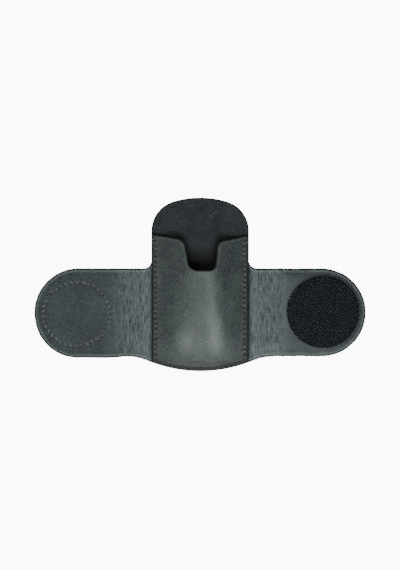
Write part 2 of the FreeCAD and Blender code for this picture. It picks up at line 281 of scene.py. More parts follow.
def new_object(name, data):
    made = bpy.data.objects.new(name, data)
    bpy.context.scene.collection.objects.link(made)
    return made


def smooth_mesh(name, vertices, faces):
    """A smoothly shaded mesh from millimetres, which keeps where it rests for the material to read."""
    mesh = bpy.data.meshes.new(name)
    mesh.from_pydata((vertices * MM).tolist(), [], faces)
    mesh.polygons.foreach_set("use_smooth", [True] * len(faces))
    store(mesh, "rest", vertices)
    return mesh


class Sheet:
    """Leather of even thickness laid along a curved middle surface, with rounded edges."""

    def __init__(self, outline, thickness, middle, loops=(), lines=(), step=1.3, grid=None):
        self.middle = middle
        radius = min(EDGE_RADIUS, thickness / 2)
        rings = [inset(outline, radius * (1 - math.cos(math.radians(a)))) for a in (22, 42, 62, 85)]
        rings.append(inset(outline, radius + 0.5))
        keep_off = [(outline, True, radius + 0.5 + 0.45 * step)]
        keep_off += [(loop, True, 0.4) for loop in loops] + [(line, False, 0.45) for line in lines]
        low, high = outline.min(axis=0), outline.max(axis=0)
        if grid is None:
            grid = (np.arange(low[0], high[0], step), np.arange(low[1], high[1], step * 0.87))
        fill = grid_points(outline, keep_off, *grid)
        self.points, faces = triangulate([outline, *rings, *loops], lines, fill)
        self.faces = faces[inside(self.points[faces].mean(axis=1), outline)]
        self.depth = distance_to(self.points, outline)
        rim = np.clip(radius - self.depth, 0, radius)
        self.half = thickness / 2 - radius + np.sqrt(radius ** 2 - rim ** 2)
        self.normal = self.slope_normals()

    def slope_normals(self):
        x, y = self.points.T
        gap = 0.05
        across = (self.middle(x + gap, y) - self.middle(x - gap, y)) / (2 * gap)
        up = (self.middle(x, y + gap) - self.middle(x, y - gap)) / (2 * gap)
        normal = np.column_stack((-across, -up, np.ones(len(x))))
        return normal / np.linalg.norm(normal, axis=1)[:, None]

    def shape(self, front_relief, back_relief):
        """Works out both faces' vertices; each relief is a height added to that face, off the middle."""
        x, y = self.points.T
        centre = np.column_stack((x, y, self.middle(x, y)))
        fade = smooth(self.depth / 0.8)
        front = centre + self.normal * (self.half + front_relief * fade)[:, None]
        back = centre - self.normal * (self.half + back_relief * fade)[:, None]
        self.vertices = np.vstack((front, back))
        self.normals = self.vertex_normals()

    def solid(self, faces):
        """Triangles and side quads that close part of the sheet, and which quads are cuts through it."""
        count = len(self.points)
        edges = np.vstack((faces[:, [0, 1]], faces[:, [1, 2]], faces[:, [2, 0]]))
        have = {(int(a), int(b)) for a, b in edges}
        rim = [(a, b) for a, b in have if (b, a) not in have]
        sides = [(b, a, a + count, b + count) for a, b in rim]
        cut = [self.depth[a] > 0.02 or self.depth[b] > 0.02 for a, b in rim]
        top = [tuple(int(i) for i in f) for f in faces]
        bottom = [tuple(int(i) + count for i in f[::-1]) for f in faces]
        return top + bottom, sides, cut

    def vertex_normals(self):
        skins, sides, _ = self.solid(self.faces)
        total = np.zeros_like(self.vertices)
        for face in skins + sides:
            corners = self.vertices[list(face)]
            area = np.cross(corners[1] - corners[0], corners[2] - corners[0])
            total[list(face)] += area
        return total / np.maximum(np.linalg.norm(total, axis=1), 1e-12)[:, None]

    def piece(self, name, chosen, marks):
        """A closed object of the chosen triangles, shaded as part of the whole sheet.

        marks holds each mark's values on the front and on the back."""
        skins, sides, cut = self.solid(self.faces[chosen])
        faces = skins + sides
        used = sorted({i for face in faces for i in face})
        place = {old: new for new, old in enumerate(used)}
        mesh = smooth_mesh(name, self.vertices[used], [tuple(place[i] for i in f) for f in faces])
        for mark, (front, back) in marks.items():
            store(mesh, mark, np.concatenate((front, back))[used])
        cut_faces = {len(skins) + i for i, is_cut in enumerate(cut) if is_cut}
        corners = []
        for polygon in mesh.polygons:
            for loop in polygon.loop_indices:
                vertex = used[mesh.loops[loop].vertex_index]
                corners.append(tuple(polygon.normal if polygon.index in cut_faces else self.normals[vertex]))
        mesh.normals_split_custom_set(corners)
        return new_object(name, mesh)


def store(mesh, name, values):
    """Keeps a number or a vector for each vertex, for the material to read."""
    values = np.asarray(values, np.float32)
    kind, field = ("FLOAT_VECTOR", "vector") if values.ndim == 2 else ("FLOAT", "value")
    attribute = mesh.attributes.new(name, kind, "POINT")
    attribute.data.foreach_set(field, values.ravel())


# ---- seams

def seam_line(grow=0.0):
    """The pocket's seam as an open line: down the left, round the belly and up the right."""
    side = POCKET_HALF - SEAM_INSET + grow
    centre = np.array((0.0, BELLY + BELLY_ARC))
    radius = BELLY_ARC - SEAM_INSET + grow
    half_angle = math.degrees(math.asin(side / radius))
    belly = arc(centre, radius, -90 - half_angle, -90 + half_angle, 0.4)
    top = POCKET_TOP - SEAM_INSET / 2
    return np.vstack(([(-side, top)], belly, [(side, top)]))


def seam_holes():
    return evenly(seam_line(), STITCH_PITCH, closed=False)


class Ring:
    """A patch's hand-sewn ring of slanted stitches, nearly round."""

    def __init__(self, centre, wide, tall, slant, seed, lock=()):
        """lock holds the angles of the extra stitches sewn over the row to end it, in degrees."""
        self.centre, self.size = np.array(centre[:2], float), np.array((wide, tall))
        rng = np.random.default_rng(seed)
        step = 2 * math.pi / RING_STITCHES
        angles = np.arange(RING_STITCHES) * step + rng.normal(0, 0.006, RING_STITCHES)
        angles = np.append(angles, np.radians(lock))
        reach = rng.normal(slant / 2, 0.13, (2, len(angles)))
        self.starts = self.points(angles, -reach[0])
        self.stops = self.points(angles + step * 0.86, reach[1])

    def points(self, angles, grow=0.0):
        around = np.column_stack((np.cos(angles), np.sin(angles)))
        return self.centre + around * self.size + around * np.reshape(grow, (-1, 1))

    def line(self, grow):
        return self.points(np.linspace(0, 2 * math.pi, 270, endpoint=False), grow)

    def gap(self, x, y):
        """How far outside the ring a place is; negative inside it."""
        across, up = (x - self.centre[0]) / self.size[0], (y - self.centre[1]) / self.size[1]
        return (np.hypot(across, up) - 1) * self.size.mean()


def dents(points, holes, radius):
    """1 at the middle of the nearest needle hole, fading to 0 at its radius."""
    nearest = np.full(len(points), 1e9)
    for hole in holes:
        nearest = np.minimum(nearest, np.hypot(*(points - hole).T))
    return smooth(1 - nearest / radius)


def tube_faces(first, rows, around):
    """Quads round a tube of rings of points, and a cap at each end."""
    faces = []
    for i in range(rows - 1):
        for k in range(around):
            a, b = first + i * around + k, first + i * around + (k + 1) % around
            faces.append((a, b, b + around, a + around))
    faces.append(tuple(first + k for k in range(around))[::-1])
    faces.append(tuple(first + (rows - 1) * around + k for k in range(around)))
    return faces


def tube_points(line, sizes, side, ups, around):
    """Rings of points round a line, from side towards up."""
    points = []
    for place, size, up in zip(line, sizes, ups):
        for k in range(around):
            angle = 2 * math.pi * k / around
            points.append(place + size * (math.cos(angle) * side + math.sin(angle) * up))
    return points


def rope(start, stop, lift, sink, up, bow):
    """One stitch of three twisted plies from hole to hole, arched over the leather and bowed to a side."""
    run = stop - start
    length = np.linalg.norm(run)
    ahead = run / length
    side = np.cross(up, ahead)
    steps, around, plies = 13, 6, 3
    ply = THREAD * 0.27
    u = np.linspace(0, 1, steps)
    height = sink + (lift - sink) * (1 - np.abs(2 * u - 1) ** 3.2)
    centre = start + u[:, None] * run + height[:, None] * up + bow * np.sin(np.pi * u)[:, None] * side
    waist = 0.72 + 0.28 * np.sin(np.pi * u)
    vertices, faces = [], []
    for number in range(plies):
        turn = 2 * np.pi * (number / plies + u * length / TWIST_LENGTH)
        line = centre + THREAD * 0.25 * (np.cos(turn) * waist)[:, None] * side
        line = line + THREAD * 0.25 * (np.sin(turn) * waist)[:, None] * up
        faces += tube_faces(len(vertices), steps, around)
        vertices += tube_points(line, ply * waist, side, [up] * steps, around)
    return vertices, faces


def join(parts):
    vertices, faces = [], []
    for more, loops in parts:
        first = len(vertices)
        vertices.extend(more)
        faces.extend(tuple(i + first for i in loop) for loop in loops)
    return vertices, faces


def solid_object(name, parts):
    """One object from many small closed meshes given in millimetres."""
    vertices, faces = join(parts)
    return new_object(name, smooth_mesh(name, np.array(vertices), faces))


def stitches(name, starts, stops, surface, side, tuck, bow):
    """A row of stitches on a flat face at a height; side is 1 in front and -1 behind.

    tuck is how far inside its two needle holes each stitch ends, and bow is how unevenly the row was sewn."""
    up = np.array((0.0, 0.0, float(side)))
    parts = []
    rng = np.random.default_rng(5)
    for a, b in zip(starts, stops):
        run = (b - a) / np.linalg.norm(b - a)
        first = a + run * (tuck + rng.normal(0, bow / 2))
        last = b - run * (tuck + rng.normal(0, bow / 2))
        ends = (np.append(first, surface), np.append(last, surface))
        parts.append(rope(*ends, STITCH_LIFT, -STITCH_SINK, up, rng.normal(0, bow)))
    return solid_object(name, parts)


# ---- materials

def make(tree, kind, inputs=(), **settings):
    """A node with its settings; each input is a value or another node's output."""
    node = tree.nodes.new(kind)
    for key, value in settings.items():
        setattr(node, key, value)
    for key, value in dict(inputs).items():
        socket = node.inputs[key]
        if isinstance(value, bpy.types.NodeSocket):
            tree.links.new(value, socket)
        else:
            socket.default_value = value
    return node


def calc(tree, operation, a, b=0.0, clamp=False):
    return make(tree, "ShaderNodeMath", {0: a, 1: b}, operation=operation, use_clamp=clamp).outputs[0]


def spread(tree, value, low, high, new_low=0.0, new_high=1.0):
    """A smooth step of value from low to high, onto another range."""
    inputs = {"Value": value, "From Min": low, "From Max": high, "To Min": new_low, "To Max": new_high}
    return make(tree, "ShaderNodeMapRange", inputs, interpolation_type="SMOOTHSTEP").outputs[0]


def mixed(tree, factor, a, b):
    """A colour between a and b; 6, 7 and 2 are the node's sockets for colours."""
    inputs = {0: factor, 6: a, 7: b}
    return make(tree, "ShaderNodeMix", inputs, data_type="RGBA", clamp_factor=True).outputs[2]


def kept(tree, name):
    """The attribute stored on the mesh."""
    return make(tree, "ShaderNodeAttribute", attribute_name=name)


def stretched(tree, coords, scale):
    return make(tree, "ShaderNodeVectorMath", {0: coords, 1: scale}, operation="MULTIPLY").outputs[0]


def noise_at(tree, coords, scale, detail=3.0, roughness=0.55):
    inputs = {"Vector": coords, "Scale": scale, "Detail": detail, "Roughness": roughness}
    return make(tree, "ShaderNodeTexNoise", inputs).outputs["Fac"]


def scratch(tree, coords, start, stop, width):
    """1 on a fine line from start to stop, 0 away from it."""
    a, run = Vector((*start, 0)), Vector((stop[0] - start[0], stop[1] - start[1], 0))
    flat = stretched(tree, coords, (1, 1, 0))
    away = make(tree, "ShaderNodeVectorMath", {0: flat, 1: a}, operation="SUBTRACT").outputs[0]
    dot = make(tree, "ShaderNodeVectorMath", {0: away, 1: run / run.length_squared}, operation="DOT_PRODUCT")
    along = calc(tree, "MINIMUM", calc(tree, "MAXIMUM", dot.outputs["Value"], 0.0), 1.0)
    nearest = make(tree, "ShaderNodeVectorMath", {0: run, "Scale": along}, operation="SCALE").outputs[0]
    gap = make(tree, "ShaderNodeVectorMath", {0: away, 1: nearest}, operation="DISTANCE").outputs["Value"]
    return spread(tree, gap, width, width * 0.2)


def new_material(name):
    material = bpy.data.materials.new(name)
    material.use_nodes = True
    tree = material.node_tree
    return material, tree, tree.nodes["Principled BSDF"]


def bumped(tree, height, strength, distance):
    inputs = {"Height": height, "Strength": strength, "Distance": distance}
    return make(tree, "ShaderNodeBump", inputs).outputs["Normal"]


def finish_shader(tree, shader, colour, rough, specular, normal=None):
    tree.links.new(colour, shader.inputs["Base Color"])
    tree.links.new(rough, shader.inputs["Roughness"])
    shader.inputs["Specular IOR Level"].default_value = specular
    if normal:
        tree.links.new(normal, shader.inputs["Normal"])


def leather_noises(tree, coords):
    """The uneven looks of leather by name, from its clouds to its hairs."""
    lie = {"Vector": coords, "Rotation": (0, 0, -0.6), "Scale": (3.6, 0.6, 1.0)}
    slanted = make(tree, "ShaderNodeMapping", lie, vector_type="TEXTURE").outputs[0]
    return {
        "clouds": noise_at(tree, coords, 0.07, 4.0, 0.6),
        "mottle": noise_at(tree, coords, 0.45, 4.0, 0.65),
        "grit": noise_at(tree, coords, 1.25, 2.0, 0.5),
        "fine": noise_at(tree, coords, 3.2, 3.0, 0.6),
        "streaks": noise_at(tree, stretched(tree, coords, (1.25, 0.13, 1.0)), 1.2, 3.0, 0.6),
        "fibres": noise_at(tree, stretched(tree, coords, (1.0, 0.25, 1.0)), 2.4, 2.0, 0.5),
        "hairs": noise_at(tree, slanted, 0.9, 2.0, 0.5)}


def swung(tree, base, value, weight, middle=0.5):
    """A base raised or lowered by how far a noise is from its middle."""
    swing = calc(tree, "MULTIPLY", calc(tree, "SUBTRACT", value, middle), weight)
    return calc(tree, "ADD", base, swing)


def leather_colour(tree, coords, noises, marks, light, scratches):
    """Near black, turning to the light colour where it is bent, rubbed or scratched and where a highlight is
    painted; darker where it is pressed and at its burnished edges, and where shade is painted.
    """
    tone, dark = 0.06, (0.0022, 0.0050, 0.0060)
    pressed_and_shaded, burnished_and_shaded = (0.0012, 0.0016, 0.0030), (0.006, 0.007, 0.008)
    # the rub mark brings painted highlight as well as wear
    pale = calc(tree, "ADD", marks["rub_and_highlight"], tone)
    for name, weight in (("clouds", 0.25), ("mottle", 0.22), ("grit", 0.42), ("fine", 0.35)):
        pale = swung(tree, pale, noises[name], weight)
    pale = swung(tree, pale, noises["streaks"], calc(tree, "MULTIPLY", marks["bend"], 1.7), 0.48)
    pale = swung(tree, pale, noises["fibres"], calc(tree, "MULTIPLY", marks["bend"], 0.7))
    pale = calc(tree, "ADD", pale, spread(tree, noises["hairs"], 0.61, 0.72, 0.0, 0.15))
    for start, stop, width, strength in scratches:
        line = calc(tree, "MULTIPLY", scratch(tree, coords, start, stop, width), strength)
        pale = calc(tree, "ADD", pale, line)
    pale = calc(tree, "MAXIMUM", calc(tree, "MINIMUM", pale, 1.0), 0.0)
    colour = mixed(tree, pale, (*dark, 1), (*light, 1))
    # the pressed colour also paints shade and shadow
    colour = mixed(tree, marks["press_and_shade"], colour, (*pressed_and_shaded, 1))
    # the burnished colour also paints shade along the pocket's border
    return mixed(tree, marks["edge"], colour, (*burnished_and_shaded, 1))


def leather_bump(tree, coords, noises, bend, scratches):
    """Pebbled grain, creases across the bends, and scratches cut into it."""
    cells = {"Vector": coords, "Scale": 1.35, "Randomness": 1.0}
    grain = make(tree, "ShaderNodeTexVoronoi", cells, feature="DISTANCE_TO_EDGE").outputs["Distance"]
    pebble = calc(tree, "MULTIPLY", spread(tree, grain, 0.0, 0.16), 0.35)
    height = calc(tree, "ADD", pebble, calc(tree, "MULTIPLY", noises["fine"], 0.9))
    creases = calc(tree, "ADD", noises["streaks"], noises["fibres"])
    height = calc(tree, "ADD", height, calc(tree, "MULTIPLY", creases, calc(tree, "MULTIPLY", bend, 1.5)))
    for start, stop, width, _ in scratches:
        height = calc(tree, "SUBTRACT", height, scratch(tree, coords, start, stop, width))
    return bumped(tree, height, 0.45, 0.00012)


def leather_material(name, light, scratches):
    """Oiled black leather that turns paler where it is bent or rubbed and where a highlight is painted,
    darker where it is pressed and where shade is painted, with black burnished edges.
    """
    material, tree, shader = new_material(name)
    coords = kept(tree, "rest").outputs["Vector"]
    marks = {mark: kept(tree, mark).outputs["Fac"] for mark in ("rub_and_highlight", "edge", "press_and_shade", "bend")}
    noises = leather_noises(tree, coords)
    colour = leather_colour(tree, coords, noises, marks, light, scratches)
    rough = spread(tree, noises["mottle"], 0.3, 0.7, 0.50, 0.62)
    rough = calc(tree, "ADD", rough, calc(tree, "MULTIPLY", marks["rub_and_highlight"], -0.05))
    rough = calc(tree, "SUBTRACT", rough, calc(tree, "MULTIPLY", marks["edge"], 0.16))
    normal = leather_bump(tree, coords, noises, marks["bend"], scratches)
    finish_shader(tree, shader, colour, rough, 0.2, normal)
    return material


def thread_material(name, dark, light, worn=0.45):
    """Waxed twisted thread with paler fibres where it is worn, and dark at the belly.

    worn is the share of the paler fibres where there are fewest."""
    material, tree, shader = new_material(name)
    coords = kept(tree, "rest").outputs["Vector"]
    fluff = noise_at(tree, coords, 5.0, 3.0, 0.7)
    patches = spread(tree, noise_at(tree, coords, 0.35, 2.0, 0.6), 0.36, 0.60, worn, 1.0)
    up = make(tree, "ShaderNodeSeparateXYZ", {0: coords}).outputs["Y"]
    handled = calc(tree, "MULTIPLY", patches, spread(tree, up, BELLY + 4, BELLY + 13, 0.3, 1.0))
    level = calc(tree, "MULTIPLY", spread(tree, fluff, 0.25, 0.7), handled, True)
    colour, rough = mixed(tree, level, (*dark, 1), (*light, 1)), spread(tree, fluff, 0.2, 0.8, 0.45, 0.75)
    finish_shader(tree, shader, colour, rough, 0.3, bumped(tree, fluff, 0.5, 0.00006))
    return material


def tape_material(name, dark, light):
    """Woven nylon tape: a plain weave of fine yarns."""
    material, tree, shader = new_material(name)
    coords = kept(tree, "rest").outputs["Vector"]
    yarns = {"Vector": coords, "Scale": 0.55, "Distortion": 0.6}
    warp = make(tree, "ShaderNodeTexWave", yarns, bands_direction="X").outputs["Fac"]
    weft = make(tree, "ShaderNodeTexWave", yarns, bands_direction="Y").outputs["Fac"]
    weave = calc(tree, "MULTIPLY", warp, weft)
    speckle = noise_at(tree, coords, 1.8, 2.0, 0.6)
    level = calc(tree, "MULTIPLY", weave, calc(tree, "ADD", speckle, 0.4), True)
    colour, rough = mixed(tree, level, (*dark, 1), (*light, 1)), spread(tree, speckle, 0.2, 0.8, 0.6, 0.85)
    finish_shader(tree, shader, colour, rough, 0.15, bumped(tree, weave, 0.6, 0.0001))
    return material


def nylon_material(name, dark, light, rough, foot, tip):
    """Black nylon yarn, darker at the height of its foot than at its tip, and uneven from yarn to yarn: a
    painted highlight at the tip and painted shade at the foot.
    """
    material, tree, shader = new_material(name)
    coords = kept(tree, "rest").outputs["Vector"]
    shade = noise_at(tree, coords, 0.9, 3.0, 0.7)
    # painted light and shade: paler towards the tip, darker towards the foot
    height = spread(tree, make(tree, "ShaderNodeSeparateXYZ", {0: coords}).outputs["Z"], foot, tip)
    pale = calc(tree, "MULTIPLY", spread(tree, shade, 0.3, 0.7, 0.3, 1.0), height)
    gloss = spread(tree, shade, 0.3, 0.7, rough - 0.08, rough + 0.08)
    finish_shader(tree, shader, mixed(tree, pale, (*dark, 1), (*light, 1)), gloss, 0.3)
    return material


def floor_material():
    """A pale floor that glows, because the lamps over the grip are too far away to make it white."""
    material, tree, shader = new_material("floor_white")
    coords = make(tree, "ShaderNodeTexCoord").outputs["Object"]
    cloud = noise_at(tree, coords, 3.0, 2.0, 0.5)
    tree.links.new(mixed(tree, cloud, (0.86, 0.86, 0.865, 1), (0.90, 0.90, 0.90, 1)),
                   shader.inputs["Base Color"])
    shader.inputs["Roughness"].default_value = 0.9
    shader.inputs["Specular IOR Level"].default_value = 0.1
    shader.inputs["Emission Color"].default_value = (1, 1, 1, 1)
    shader.inputs["Emission Strength"].default_value = 10.0
    return material


# fine marks on the leather: start, stop, width and strength
SCRATCHES = [
    ((-3.4, -39.4), (5.2, -36.8), 0.30, 0.30), ((12.0, -22.0), (13.1, -25.0), 0.30, 0.32),
    ((13.1, -25.0), (11.6, -28.6), 0.30, 0.32), ((10.9, -33.5), (9.8, -37.5), 0.3, 0.2),
    ((9.8, -37.5), (11.0, -42.0), 0.3, 0.18), ((-22.0, -12.5), (-14.0, -15.5), 0.3, 0.12)]
TAB_SCUFFS = [((6.3, 44.4), (10.2, 46.6), 0.45, 0.22), ((6.0, 43.6), (7.2, 44.0), 0.4, 0.2),
              ((9.4, 47.2), (12.0, 47.4), 0.3, 0.12)]
PANEL_LEATHER = leather_material("panel_leather", (0.122, 0.150, 0.155), TAB_SCUFFS)
MOULDED_LEATHER = leather_material("pocket_leather", (0.160, 0.190, 0.185), SCRATCHES)
BLACK_THREAD = thread_material("black_thread", (0.003, 0.003, 0.004), (0.02, 0.022, 0.025))
GREY_THREAD = thread_material("grey_thread", (0.05, 0.058, 0.06), (0.22, 0.24, 0.245))
DARK_THREAD = thread_material("dark_thread", (0.010, 0.012, 0.013), (0.25, 0.26, 0.26), 0.25)
TAPE = tape_material("patch_tape", (0.0008, 0.001, 0.0018), (0.005, 0.006, 0.010))
# the light colours below are the painted highlight on the hook and loop tips
HOOK_NYLON = nylon_material("hook_nylon", (0.001, 0.0014, 0.0026), (0.075, 0.092, 0.130), 0.36,
                            HOOKS_LOW[2] + 0.35, HOOKS_HIGH[2])
LOOP_NYLON = nylon_material("loop_nylon", (0.008, 0.008, 0.010), (0.035, 0.036, 0.042), 0.6,
                            LOOPS_HIGH[2], LOOPS_LOW[2])


def finish_piece(made, material, nodes=()):
    made.data.materials.append(material)
    if nodes:
        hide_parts(*nodes)
    return made


HOOK_RING = Ring(HOOK_CENTRE, 21.4, 21.4, 0.8, 3)
LOOP_RING = Ring(LOOP_CENTRE + np.array((0.1, -1.2, 0)), 21.9, 20.5, 1.9, 4, lock=(72.5,))


# ---- the leather panel

def panel_middle(x, y):
    """The height of the panel's middle: flat, but climbing to the loop wing that lies on its patch."""
    climb = LIFT * smooth((LEFT_HINGES[0] - x) / (LEFT_HINGES[0] - LEFT_HINGES[2]))
    return LEATHER / 2 + climb


FOLD_CLEARANCE = 0.2
SIDE_CUT = TAB_HALF + FOLD_CLEARANCE
HALF_BEND = 2.4
TAB_BEND = TAB_HINGE - POCKET_TOP - 0.1
TAB_START, TAB_END = TAB_HINGE - TAB_BEND, TAB_HINGE + TAB_BEND
LEFT_1, LEFT_2 = (LEFT_HINGES[0] + LEFT_HINGES[1]) / 2, (LEFT_HINGES[1] + LEFT_HINGES[2]) / 2
RIGHT_1, RIGHT_2 = (RIGHT_HINGES[0] + RIGHT_HINGES[1]) / 2, (RIGHT_HINGES[1] + RIGHT_HINGES[2]) / 2
LEFT_END = LEFT_HINGES[2] - HALF_BEND
RIGHT_END = 2 * RIGHT_HINGES[2] - RIGHT_2


def panel_cuts(outline):
    """The lines that the panel's mesh follows where it is divided, reaching just past the outline."""
    neck_top = WING_TOP + NECK_FILLET
    past = 0.6
    cuts = []
    for x in (-SIDE_CUT, LEFT_1, LEFT_2, LEFT_END, SIDE_CUT, RIGHT_1, RIGHT_2, RIGHT_END):
        fine = evenly(np.array(((x, -HALF_SPAN), (x, neck_top))), 0.2, closed=False)
        fine = fine[inside(fine, outline)]
        fine = fine[fine[:, 1] < neck_top - 0.1]
        cuts.append(np.vstack((fine[0] - (0, past), fine[-1] + (0, past))))
    for y in (TAB_START, TAB_END):
        fine = evenly(np.array(((-HALF_SPAN, y), (HALF_SPAN, y))), 0.2, closed=False)
        fine = fine[inside(fine, outline)]
        cuts.append(np.vstack((fine[0] - (past, 0), fine[-1] + (past, 0))))
    return [evenly(cut, 1.2, closed=False) for cut in cuts]


def panel_sheet():
    """The panel's mesh, finer at the folds, at the seam and at both rings."""
    outline = panel_outline()
    rings = [ring.line(grow) for ring in (LOOP_RING, HOOK_RING) for grow in (-1.4, -0.5, 0.5, 1.4)]
    lines = panel_cuts(outline)
    lines += [evenly(seam_line(grow), 0.9, closed=False) for grow in (-1.1, -0.4, 0.4, 1.1)]
    coarse, fine, fold_in, fold_out = 1.5, 0.7, 32, 58
    columns = np.concatenate((
        np.arange(-HALF_SPAN, -fold_out, coarse), np.arange(-fold_out, -fold_in, fine),
        np.arange(-fold_in, fold_in, 1.6),
        np.arange(fold_in, fold_out, fine), np.arange(fold_out, HALF_SPAN, coarse)))
    rows = np.arange(BELLY, TAB_TOP, 1.3)
    return Sheet(outline, LEATHER, panel_middle, rings, lines, grid=(columns, rows))


def panel_bend(x):
    """How much the leather is creased: most beside the pocket, fading along each wing."""
    left = smooth((x + 66) / 26) * smooth((-31.0 - x) / 2)
    right = smooth((60 - x) / 12) * smooth((x - 31.5) / 2)
    return np.maximum(left, right)


def panel_front_marks(sheet, x, y, bend, crease, holes, sunk_ring, groove):
    """Where the front is rubbed pale, with a painted highlight on the crease line, and where it is darker:
    pressed needle holes, painted shade in the pocket's cavity, in the groove beside the pocket and in the
    sunk ring, and a painted shadow under the pocket's rim.
    """
    wing = smooth((np.abs(x) - 30.4) / 2)
    right_glow = smooth((x - 50) / 6) * smooth((78 - x) / 24) * smooth((sheet.depth - 1) / 8)
    rub_and_highlight = wing * (0.11 + 0.21 * bend + 0.16 * right_glow) + 0.10 * wing * (x > 0) * smooth((-34 - y) / 8)
    # the crease line near the edge is a real dent, drawn paler as a painted highlight
    rub_and_highlight += (0.05 + 0.40 * wing) * crease - 0.07 * wing * smooth((6.0 - sheet.depth) / 6.0)
    rub_and_highlight += 0.07 * wing * hump((np.abs(x) - 35.5) / 2.5) - 0.02 * (y > POCKET_TOP)
    # painted shade: the panel inside the pocket turns dark below the mouth, where the pocket front shades it
    cave_shade = 0.95 * (np.abs(x) < POCKET_HALF) * (y < POCKET_TOP) * smooth((27.0 - y) / 9)
    # painted shadow: a dark line on the panel along the pocket's mouth, wider towards the notch
    rim = distance_to(sheet.points, pocket_outline()) / (0.6 + 1.3 * smooth((18 - np.abs(x)) / 8))
    rim_shade = 0.9 * hump(rim) * (y > 8) * (np.abs(x) < POCKET_HALF)
    # darker in the needle holes, with painted shade in the groove, the sunk ring and the pocket's cavity, and
    # the painted shadow under the rim
    press_and_shade = np.clip(0.85 * holes + 0.06 * groove + 0.15 * sunk_ring + cave_shade + rim_shade, 0, 1)
    return rub_and_highlight, press_and_shade


def shape_panel(sheet):
    """Gives the panel its relief, and returns its marks as pairs for the front and the back."""
    x, y = sheet.points.T
    bend = panel_bend(x)
    holes = dents(sheet.points, np.vstack((LOOP_RING.starts, LOOP_RING.stops)), 0.75)
    sunk_ring = hump(LOOP_RING.gap(x, y) / 0.9)
    creases = wobble(x, y * 0.05, 0.55, 8.2) + 0.6 * wobble(x, y * 0.08, 1.0, 4.7)
    groove = hump((np.abs(x) - POCKET_HALF - 0.9) / 0.75)
    groove = groove * smooth((POCKET_TOP - y) / 2) * smooth((y - BELLY) / 2)
    crease = hump((sheet.depth - 1.6) / 0.4)
    front = 0.13 * creases * bend + 0.10 * wobble(x, y, 0.045, 1.3)
    front -= 0.16 * sunk_ring + 0.3 * holes + 0.22 * groove + 0.07 * crease
    off_disc = PATCH_RADIUS - np.hypot(x - LOOP_CENTRE[0], y - LOOP_CENTRE[1])
    front += 0.07 * smooth((off_disc - 1) / 2.5) - 0.04 * hump(off_disc / 1.3)
    seam = distance_to(sheet.points, seam_line(), closed=False)
    channel = np.maximum(hump(seam / 0.75), hump(HOOK_RING.gap(x, y) / 0.9))
    sheet.shape(front, -0.02 - 0.02 * wobble(x, y, 0.4, 6.0) - 0.5 * channel)

    rub_and_highlight, press_and_shade = panel_front_marks(sheet, x, y, bend, crease, holes, sunk_ring, groove)
    burnish = smooth((y - WING_TOP + 3) / 3) * (np.abs(x) > 36) * (0.6 + wobble(x, y, 0.22, 4.4))
    edge = smooth((1.2 + 0.9 * burnish - sheet.depth) / 0.7)
    back_holes = dents(sheet.points, np.vstack((seam_holes(), HOOK_RING.starts, HOOK_RING.stops)), 0.9)
    back_press = np.clip(0.8 * back_holes + 0.3 * channel, 0, 1)
    return {"rub_and_highlight": (rub_and_highlight, 0.13 + 0.08 * bend), "bend": (bend, 0.2 * bend), "edge": (edge, edge),
            "press_and_shade": (press_and_shade, back_press)}


def wing_plan(side, sign, x, hinges, cuts):
    """One wing's pieces: name, triangles, CAD nodes, body, and how it bends.

    A bend is the next body, the axis that it runs along, and where it starts and ends."""
    bodies = ("pocket", f"{side}_strip_1", f"{side}_strip_2", f"{side}_wing")
    nodes = ([f"{side}_fold_strip_1"], [f"{side}_fold_strip_2"], [])
    bends = ((cuts[0], 2 * hinges[0] - cuts[0]), (cuts[1], cuts[2]), (2 * hinges[2] - cuts[3], cuts[3]))
    rows = []
    for i, (start, stop) in enumerate(bends):
        chosen = (sign * x > sign * cuts[i]) & (sign * x < sign * cuts[i + 1])
        bent = (bodies[i + 1], 0, start, stop)
        rows.append((f"leather_{side}_fold_{i + 1}", chosen, nodes[i], bodies[i], bent))
    rows.append((f"leather_{side}_wing", sign * x > sign * cuts[3], [f"{side}_wing"], bodies[3], None))
    return rows


def build_panel():
    sheet = panel_sheet()
    marks = shape_panel(sheet)
    x, y = sheet.points[sheet.faces].mean(axis=1).T
    middle, tongue_bend = np.abs(x) < SIDE_CUT, ("tongue", 1, TAB_START, TAB_END)
    plan = [
        ("leather_centre", middle & (y < TAB_START), ["back_panel"], "pocket", None),
        ("leather_tongue_fold", (y > TAB_START) & (y < TAB_END), [], "pocket", tongue_bend),
        ("leather_tongue", y > TAB_END, ["top_tab"], "tongue", None)]
    plan += wing_plan("left", -1, x, LEFT_HINGES, (-SIDE_CUT, LEFT_1, LEFT_2, LEFT_END))
    plan += wing_plan("right", 1, x, RIGHT_HINGES, (SIDE_CUT, RIGHT_1, RIGHT_2, RIGHT_END))
    for name, chosen, nodes, body, bent in plan:
        made = finish_piece(sheet.piece(name, chosen, marks), PANEL_LEATHER, nodes)
        if bent is None:
            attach(made, body)
            continue
        other, axis, start, stop = bent
        ends = [[0.0, 0.0, 0.0], [0.0, 0.0, 0.0]]
        ends[0][axis], ends[1][axis] = start * MM, stop * MM
        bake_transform(made)


build_panel()


# ---- the moulded pocket

BULGE_HALF = 27.4
BULGE_HEIGHT = POCKET_HIGH[2] - LEATHER


